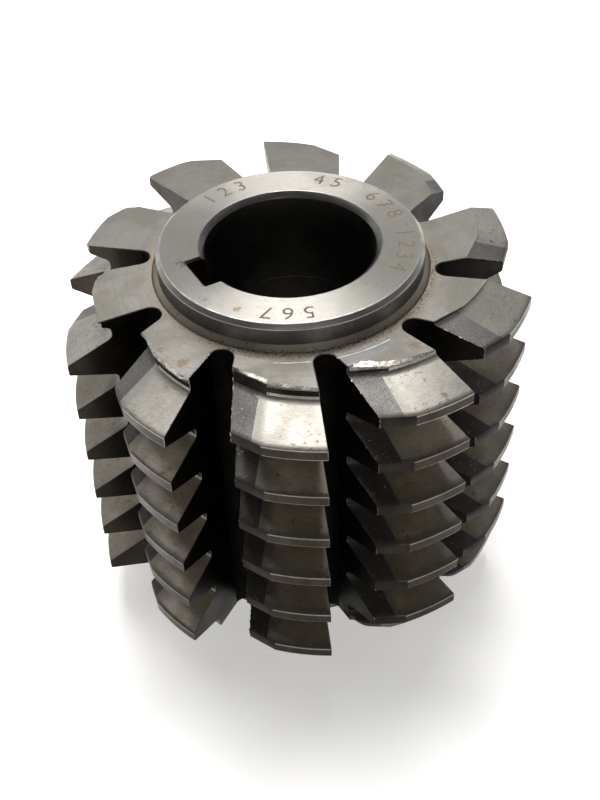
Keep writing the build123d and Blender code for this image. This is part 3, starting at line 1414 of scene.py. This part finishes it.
FINISHES: dict[Zone, SteelFinish] = {
    # Form-ground high speed steel: a bright satin with fine streaks along the tooth and light rust
    Zone.GROUND_FLANK: SteelFinish(
        "hss_form_ground_flank", "#A5A29B", "#96938B", roughness=0.36, shade="#4F4230",
        lay=Lay.ROUND_AXIS, lay_width=0.13, lay_tone=0.24, lay_bump=0.06, grain_tone=0.04,
        stain=Spots("#69563F", 1.0, 0.72), specks=Spots("#5F4B36", 0.4, 0.2), lower_darkening_share=0.5,
        rust=RustSpots(
            "#97866A", ((5.2, -36.7, 71.5, 0.7), (8.2, -40.4, 70.5, 1.2), (3.7, -38.0, 70.5, 0.5))
        ),
    ),
    # Milled and hardened steel that the relief grinding didn't reach: dull grey, grainy, with painted glints,
    # and darker lower down
    Zone.ROUGH_BACK: SteelFinish(
        "hss_milled_unground", "#7B7976", "#686663", patch=9.0, roughness=0.5, lower_darkening_share=0.5,
        grain=0.2, grain_tone=0.45, grain_bump=0.35,
        stain=Spots("#6E614F", 1.2, 0.25), painted_glints=Spots("#B5B1A8", 0.25, 0.2),
    ),
    # Ground crests: a thin brown-grey temper film with short marks across
    Zone.CREST: SteelFinish(
        "hss_ground_crest", "#3B352F", "#322C27", roughness=0.36,
        lay=Lay.ALONG_AXIS, lay_width=0.35, lay_tone=0.3, stain=Spots("#4F3F2F", 3.0, 0.4),
    ),
    # The crests behind the ground land keep the milled skin: darker and grainy
    Zone.CREST_BACK: SteelFinish(
        "hss_milled_crest", "#2F2B27", "#25221F", roughness=0.5,
        grain=0.25, grain_tone=0.5, grain_bump=0.7, stain=Spots("#4F3D2D", 2.0, 0.4),
    ),
    # Cutting faces are ground along the gash; their dark colour is painted shade of the gash
    Zone.CUTTING_FACE: SteelFinish(
        "hss_sharpened_face_painted_shade", "#3D3832", "#2F2B26", roughness=0.34,
        lay=Lay.ALONG_AXIS, lay_tone=0.06, lay_bump=0.06, stain=Spots("#4A3B29", 3.0, 0.35),
    ),
    # Milled gash walls: a black-brown milled skin, painted darker still as shade inside the gash
    Zone.HEEL_WALL: SteelFinish(
        "hss_milled_gash_wall_painted_shade", "#292623", "#1F1D1B", roughness=0.5, grain_bump=0.4
    ),
    # Gash roots: the same milled skin, painted darkest as shade at the bottom of the gash
    Zone.GASH_ROOT: SteelFinish(
        "hss_milled_gash_root_painted_shade", "#1F1D1B", "#171514", roughness=0.8, grain_bump=0.4
    ),
    # Turned end faces: dull grey with pits, dark specks, faint rust and dirt along the hub's foot, with
    # painted shade in the crease there and painted light on the hub's bevel
    Zone.END_FACE: SteelFinish(
        "hss_turned_end_face", "#787570", "#69665F", patch=7.0, roughness=0.46, metallic=0.9,
        lay=Lay.ROUND_AXIS, lay_width=0.4, lay_tone=0.08, lay_bump=0.1,
        grain=0.3, grain_tone=0.12, grain_bump=0.3, foot_dirt_and_painted_light=FootDirtAndPaintedLight(),
        stain=Spots("#6B5A48", 2.6, 0.34), specks=Spots("#25201B", 0.5, 0.16),
        rust=RustSpots(
            "#675849", ((-29.7, -15.4, 75.0, 1.5), (-31.5, -10.4, 75.0, 0.8), (6.7, -31.9, 75.0, 1.2))
        ),
    ),
    # Steel torn open by hand trimming: bright, lumpy and broken
    Zone.TORN_EDGE: SteelFinish(
        "hss_torn_bright_edge", "#BBB8AF", "#96928A", patch=0.5, roughness=0.52,
        grain=0.25, grain_tone=0.3, grain_bump=0.3,
    ),
    # Hub faces ground round the axis: a broad bright fan to the front and back, with faint rust
    Zone.HUB_FACE: SteelFinish(
        "hss_ground_hub_face", "#98958F", "#8E8B85", roughness=0.36, anisotropy=0.75,
        lay=Lay.ROUND_AXIS, lay_width=0.15, lay_tone=0.07, lay_bump=0.1, grain_tone=0.05,
        stain=Spots("#857457", 3.0, 0.42), specks=Spots("#4E4030", 0.5, 0.15),
        rust=RustSpots(
            "#705D4A", ((-19.9, 4.1, 80.0, 1.3), (-17.7, -12.9, 80.0, 0.9), (-21.2, -7.8, 80.0, 0.5))
        ),
    ),
    # Turned chamfers of the hub: the brightest rings, painted brighter than the hub's side as a highlight
    # where they look at the lamp
    Zone.HUB_EDGE: SteelFinish("hss_turned_chamfer_painted_highlight", "#ABA9A5", "#969490", lay=Lay.ROUND_AXIS),
    # The hub's turned side: painted darker than its chamfers as shade, with fine rings
    Zone.HUB_SIDE: SteelFinish(
        "hss_turned_hub_side_painted_shade", "#706D69", "#605D59", roughness=0.52, lay=Lay.ROUND_AXIS, lay_tone=0.12
    ),
    # The bore and its chamfers, ground smooth; their grey, darker than the hub's chamfers, is painted shade
    # of the bore
    Zone.BORE_WALL: SteelFinish(
        "hss_ground_bore_painted_shade", "#7A7875", "#686663", roughness=0.34, lay=Lay.ROUND_AXIS
    ),
    # The broached keyway holds most of the rust
    Zone.KEYWAY: SteelFinish(
        "hss_broached_keyway", "#4A423A", "#352E28", roughness=0.45, lay=Lay.ALONG_AXIS,
        stain=Spots("#6B4A2C", 3.0, 0.8),
    ),
    # Cutting edges worn to a thin bright line
    Zone.KEEN_EDGE: SteelFinish(
        "hss_worn_cutting_edge", "#918D86", "#6A6661", patch=1.5, roughness=0.4, lower_darkening_share=0.5
    ),
    # The heel edges carry a burr; its bright patches here and there are painted glints
    Zone.HEEL_EDGE: SteelFinish(
        "hss_heel_burr_painted_glints", "#CFCABE", "#4A4744", patch=0.6, lower_darkening_share=0.7,
        grain=0.3, grain_tone=0.5, grain_bump=1.0,
    ),
    # The narrow root of the thread, painted dark as shade under the lip and the tooth above
    Zone.THREAD_ROOT: SteelFinish("hss_thread_root_painted_shade", "#33302C", "#25221F", roughness=0.5),
    # The sharp rim round the hub face: its bright line is a painted highlight of the rounded rim
    Zone.HUB_RIM: SteelFinish("hss_rim_painted_highlight", "#B0ADA6", "#8F8C86", patch=3.0, roughness=0.4),
}

# The bright arcs are painted highlights of a shallow machined step, and the dressed patch beside them a
# cooler, plainer grey
STEP_HIGHLIGHT = SteelFinish("hss_step_painted_highlight", "#C9C6BF", "#8F8C86", patch=2.0)
DRESSED = SteelFinish("hss_dressed_patch", "#6E6E6D", "#636362", roughness=0.42)


@dataclass(frozen=True)
class EtchFinish:
    """Electro-etched strokes: matt, thin and rust brown."""

    name: str = "etched_stroke"
    colour: str = "#6A5A42"
    roughness: float = 0.7

    def build(self) -> Material:
        """Builds the material of the strokes.

        Returns:
            The finished material.
        """
        material, tree, shader = new_material(self.name)
        feed(tree, shader, {"Base Color": linear(self.colour), "Roughness": self.roughness})
        return material


# ------------------------------------------------------------------ marks on the end faces


@dataclass(frozen=True)
class EtchedFace:
    """Plain running numerals where such a tool is marked, their tops away from the bore.

    Each group has its numerals and the azimuth of its middle. They name nothing.
    """

    height: float
    radius: float = 21.3
    size: float = 4.6
    thinned: float = 0.012
    raised: float = 0.012
    spacing: float = 9.8
    groups: tuple[tuple[str, float], ...] = (
        ("123", 98.1),
        ("45", 40.6),
        ("678", 3.0),
        ("1234", -39.0),
        ("567", -119.8),
    )

    def stroke_mesh(self, digit: str) -> Mesh:
        """The flat strokes of a digit, centred on the origin, in millimetres.

        Args:
            digit: The digit.

        Returns:
            The mesh of its strokes.
        """
        text = bpy.data.curves.new("numeral", "FONT")
        text.body = digit
        text.size = self.size
        text.offset = -self.thinned
        text.align_x = "CENTER"
        text.align_y = "CENTER"
        text.resolution_u = 4
        holder = bpy.data.objects.new("numeral", text)
        bpy.context.scene.collection.objects.link(holder)
        mesh = bpy.data.meshes.new_from_object(evaluated(holder))
        bpy.data.curves.remove(text)
        return mesh

    def build(self) -> Object:
        """Builds all the numerals, clockwise as seen from above, as one piece on the hub face.

        Returns:
            The piece.
        """
        strokes = bmesh.new()
        out = Matrix.Translation((0, self.radius, self.height + self.raised))
        for text, middle in self.groups:
            for order, digit in enumerate(text):
                azimuth = middle + self.spacing * ((len(text) - 1) / 2 - order)
                before = len(strokes.verts)
                take_in(strokes, self.stroke_mesh(digit))
                strokes.verts.ensure_lookup_table()
                turned = Matrix.Rotation(math.radians(azimuth - 90), 4, "Z")
                bmesh.ops.transform(strokes, matrix=turned @ out, verts=strokes.verts[before:])
        return shown(strokes, "etched_numerals", [EtchFinish().build()])


@dataclass(frozen=True)
class EndFaceArc:
    """Arc on the upper end face, as a thin sheet just over its surface. The dressed patch is one that a tool
    left; the bright arcs are painted highlights of a shallow step.
    """

    name: str
    inner: float
    outer: float
    start: float
    sweep: float
    finish: SteelFinish
    raised: float = 0.01

    def build(self, level: float) -> Object:
        """Turns the mark's short radial edge round the axis.

        Args:
            level: The height of the end face.

        Returns:
            The mark's piece.
        """
        mark = bmesh.new()
        ends = [mark.verts.new((radius, 0, level + self.raised)) for radius in (self.inner, self.outer)]
        edge = mark.edges.new(ends)
        turn(mark, ends, self.start)
        spin(mark, [edge, *ends], math.radians(self.sweep), math.ceil(self.sweep))
        return shown(mark, self.name, [self.finish.build()])


END_FACE_ARCS: tuple[EndFaceArc, ...] = (
    # Painted highlights of a shallow machined step on teeth 6 and 5
    EndFaceArc("step_highlight_on_tooth_6", 28.50, 28.66, -125.0, 13.0, STEP_HIGHLIGHT),
    EndFaceArc("step_highlight_on_tooth_5", 28.60, 28.78, -103.2, 21.0, STEP_HIGHLIGHT),
    EndFaceArc("dressed_patch", 28.80, 30.60, -101.6, 18.0, DRESSED),
)


# ------------------------------------------------------------------ the dressed hob


@dataclass(frozen=True)
class DressedHob:
    """The one steel piece of the hob with all its finishes."""

    sizes: HobSizes
    crease: float = 24.0  # the sharpest turn, in degrees, that is shaded as a curve

    def build(self) -> Object:
        """Builds the piece that stands for the CAD solid.

        Returns:
            The hob's object.
        """
        row = ToothRow(self.sizes)
        body = ToothedBody(self.sizes, row).build()
        take_in(body, HubSleeve(self.sizes, foot_drop=row.edge_break).build())
        bmesh.ops.remove_doubles(body, verts=body.verts, dist=MERGE)
        bmesh.ops.dissolve_degenerate(body, edges=body.edges, dist=MERGE)
        bmesh.ops.recalc_face_normals(body, faces=body.faces)
        # The faces may all have been turned inwards, which makes the volume negative
        if body.calc_volume(signed=True) < 0:
            bmesh.ops.reverse_faces(body, faces=body.faces)
        self.shade(body)
        LOG.info("%d edges of the hob aren't closed", sum(not e.is_manifold for e in body.edges))
        return shown(body, "hob_body", [FINISHES[zone].build() for zone in Zone])

    def shade(self, body: BMesh) -> None:
        """Shades the curved surfaces smoothly and keeps every real edge crisp.

        Args:
            body: The closed mesh of the hob.
        """
        body.normal_update()
        limit = math.radians(self.crease)
        for face in body.faces:
            face.smooth = True
        for edge in body.edges:
            if len(edge.link_faces) == 2:
                zones = {f.material_index for f in edge.link_faces}
                edge.smooth = edge.calc_face_angle(0) < limit and len(zones) == 1


# ------------------------------------------------------------------ studio


def seen(tree: NodeTree) -> NodeSocket:
    """Tells what the camera sees straight, in a reflection or through glass.

    Args:
        tree: The node tree.

    Returns:
        1 for such a ray and 0 for any other.
    """
    kinds = ("Camera", "Glossy", "Transmission")
    ray, *others = [add_node(tree, "ShaderNodeLightPath", out=f"Is {kind} Ray") for kind in kinds]
    for other in others:
        ray = add_node(tree, MATH, {0: ray, 1: other}, operation="MAXIMUM")
    return ray


@dataclass(frozen=True)
class Lamp:
    """A soft rectangular lamp, placed square to the camera in millimetres."""

    name: str
    place: tuple[float, float, float]
    power: float
    width: float = 0.5
    height: float = 0.5

    def build(self, place: Vector, aim: Vector) -> None:
        """Hangs the lamp.

        Args:
            place: Its place in the hob's frame, in metres.
            aim: The point that it looks at.
        """
        data = bpy.data.lights.new(self.name, "AREA")
        data.shape = "RECTANGLE"
        data.size, data.size_y = self.width, self.height
        data.energy = self.power
        lamp = bpy.data.objects.new(self.name, data)
        lamp.location = place
        lamp.rotation_mode = "QUATERNION"
        lamp.rotation_quaternion = (aim - place).to_track_quat("-Z", "Y")
        bpy.context.scene.collection.objects.link(lamp)


@dataclass(frozen=True)
class Studio:
    """Plain pale floor, soft lamps, an even world and the camera."""

    turn: float = -27.7
    camera_place: tuple[float, float, float] = (0.70, -175.52, 203.04)
    camera_aim: tuple[float, float, float] = (0.70, 0.0, 39.77)
    camera_roll: float = -2.24
    lens: float = 51.717
    nearest: float = 0.01
    lamp_aim: tuple[float, float, float] = (0.0, 0.0, 60.0)
    floor_size: float = 4.0
    floor_colour: str = "#F2F1EF"
    floor_roughness: float = 0.9
    floor_glow: float = 0.5
    glow_near: float = 0.4
    glow_far: float = 1.2
    white_below: float = 0.09
    dim_above: float = 0.2
    world_colour: str = "#FFFFFF"
    world_strength: float = 0.08
    lamps: tuple[Lamp, ...] = (
        Lamp("overhead_lamp", (-30, 350, 950), 11.0),
        Lamp("back_lamp", (0, 750, 650), 1.3, width=1.2),
        Lamp("back_left_lamp", (-650, 600, 400), 0.7),
        Lamp("back_right_lamp", (500, 700, 520), 0.5),
        Lamp("right_lamp", (600, 200, 720), 0.35),
        Lamp("left_lamp", (-450, 250, 850), 1.2),
        Lamp("front_lamp", (100, -900, 600), 0.8, width=0.9),
    )

    def room_point(self, place: tuple[float, float, float]) -> Vector:
        """A point given square to the camera, in millimetres, turned into the hob's frame."""
        return Matrix.Rotation(math.radians(self.turn), 3, "Z") @ Vector(place) * MM

    def camera(self) -> None:
        """Sets the camera up."""
        data = bpy.data.cameras.new("camera")
        data.lens = self.lens
        data.sensor_width = 36.0
        data.clip_start = self.nearest
        camera = bpy.data.objects.new("camera", data)
        place, aim = self.room_point(self.camera_place), self.room_point(self.camera_aim)
        camera.location = place
        camera.rotation_mode = "QUATERNION"
        roll = Matrix.Rotation(math.radians(self.camera_roll), 3, "Z").to_quaternion()
        camera.rotation_quaternion = (aim - place).to_track_quat("-Z", "Y") @ roll
        bpy.context.scene.collection.objects.link(camera)
        bpy.context.scene.camera = camera

    def floor(self) -> None:
        """Lays the floor that the hob stands on."""
        sheet = bmesh.new()
        bmesh.ops.create_grid(sheet, x_segments=1, y_segments=1, size=self.floor_size / 2 / MM)
        shown(sheet, "floor", [self.paper()])

    def paper(self) -> Material:
        """White paper, which glows a little to what looks at it so that it reads as white.

        Returns:
            The floor's material.
        """
        material, tree, shader = new_material("white_paper")
        place = add_node(tree, "ShaderNodeTexCoord", out="Object")
        away = add_node(tree, VECTOR_MATH, {0: place}, out=1, operation="LENGTH")
        glow = {0: away, 1: self.glow_near, 2: self.glow_far, 3: self.floor_glow, 4: 1.0}
        glow = {0: seen(tree), 1: add_node(tree, MAP_RANGE, glow)}
        inputs = {
            "Base Color": linear(self.floor_colour),
            "Roughness": self.floor_roughness,
            "Emission Color": linear(self.floor_colour),
            "Emission Strength": add_node(tree, MATH, glow, operation="MULTIPLY"),
        }
        feed(tree, shader, inputs)
        return material

    def world(self) -> None:
        """Fills the room with a little even light, and makes it look white behind the floor."""
        world = bpy.data.worlds.new("room")
        world.use_nodes = True
        tree = world.node_tree
        place = add_node(tree, "ShaderNodeTexCoord", out="Generated")
        height = add_node(tree, "ShaderNodeSeparateXYZ", {0: place}, out=2)
        wall = {0: height, 1: self.dim_above, 2: self.white_below}
        wall = {0: seen(tree), 1: add_node(tree, MAP_RANGE, wall, **SMOOTH)}
        white = add_node(tree, MATH, wall, operation="MULTIPLY")
        strength = add_node(tree, MAP_RANGE, {0: white, 3: self.world_strength, 4: 1.0})
        inputs = {"Color": linear(self.world_colour), "Strength": strength}
        feed(tree, tree.nodes["Background"], inputs)
        bpy.context.scene.world = world

    def build(self) -> None:
        """Builds the whole studio."""
        self.camera()
        self.floor()
        self.world()
        for lamp in self.lamps:
            lamp.build(self.room_point(lamp.place), self.room_point(self.lamp_aim))
        bpy.context.scene.view_settings.view_transform = "Standard"


# ------------------------------------------------------------------ main


def main() -> None:
    """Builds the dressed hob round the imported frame."""
    logging.basicConfig(level=logging.INFO, format="%(name)s: %(message)s")
    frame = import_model()
    LOG.info("%d CAD nodes in the frame", len(frame["nodes"]))
    low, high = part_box(NODE)
    sizes = HobSizes(length=(high.z - low.z) / MM)
    hob = DressedHob(sizes).build()
    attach(hob, BODY)
    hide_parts(NODE)
    marks = [EtchedFace(sizes.length).build()]
    marks += [mark.build(sizes.high_face) for mark in END_FACE_ARCS]
    for mark in marks:
        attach(mark, BODY)
    for piece in (hob, *marks):
        LOG.info("%s: %d faces", piece.name, len(piece.data.polygons))
    Studio().build()
    LOG.info("boxes written")


if __name__ == "__main__":
    main()
